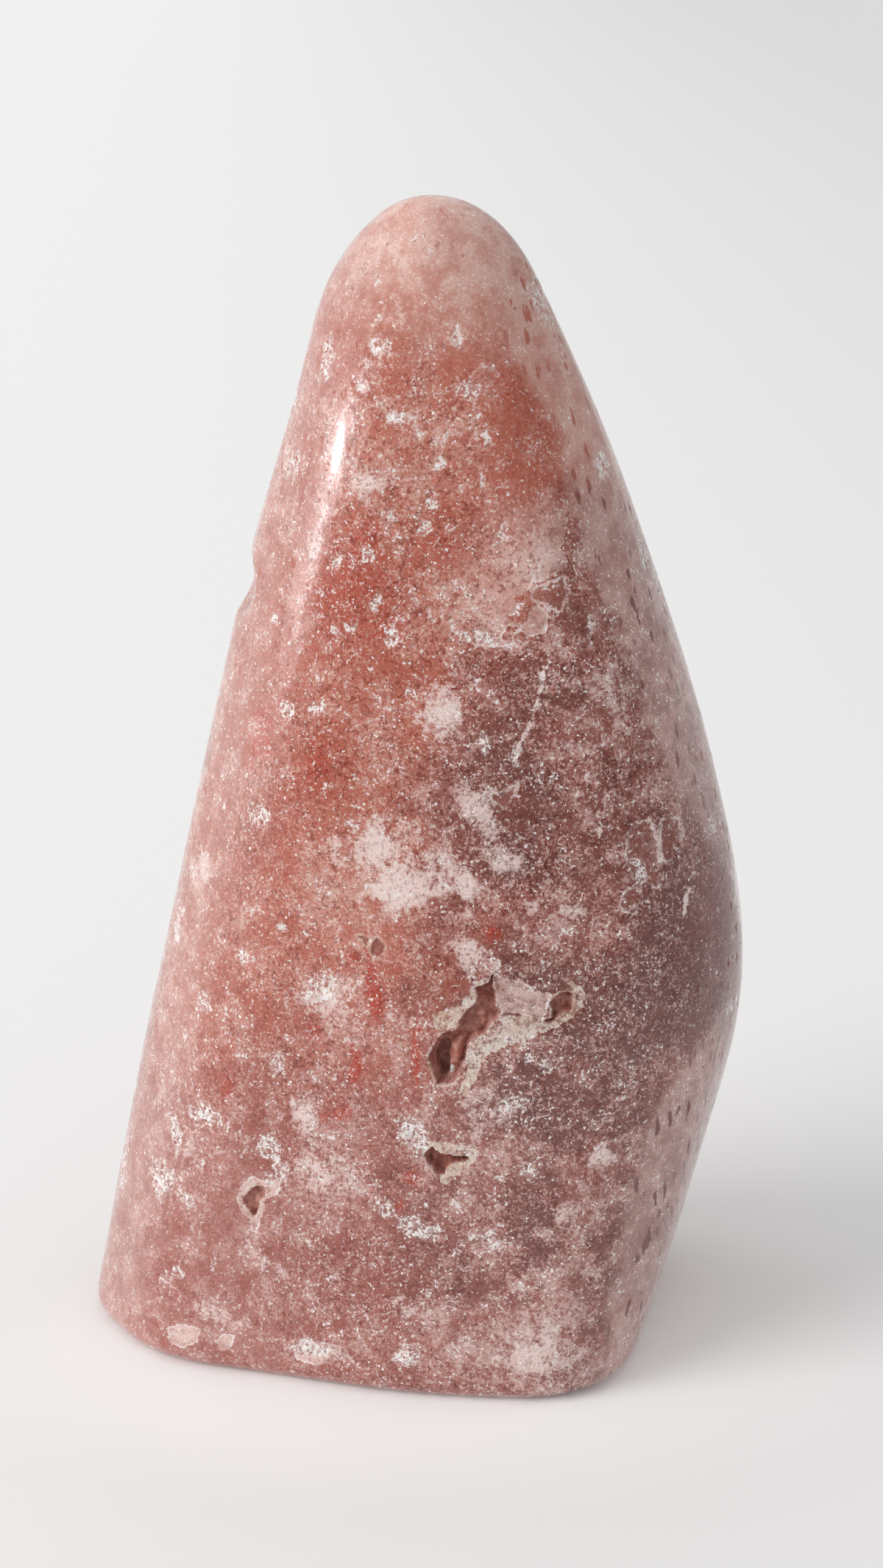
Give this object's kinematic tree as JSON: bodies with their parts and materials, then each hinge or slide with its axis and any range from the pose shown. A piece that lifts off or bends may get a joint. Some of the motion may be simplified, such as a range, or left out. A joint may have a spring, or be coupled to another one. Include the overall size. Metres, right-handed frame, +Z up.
{
  "type": "pink amethyst freeform",
  "caption": "Polished freeform stone of pink amethyst: a leaning rounded peak with hand-ground facets, a flat foot and small open vugs on its front, for display",
  "frame": {"origin": "under the middle of the stone's box, on the plane it rests on", "axes": "+Z up along the peak, -Y towards the front face with the vugs, +X to the right seen from the front"},
  "size_m": [0.0668, 0.043, 0.1166],
  "materials": {
    "pink_amethyst": "hand-polished translucent pink quartz, coral to mauve, with white crystal clouds, fine grain and pale vug rims"
  },
  "bodies": {
    "root": {"stone": "pink_amethyst"}
  },
  "joints": []
}
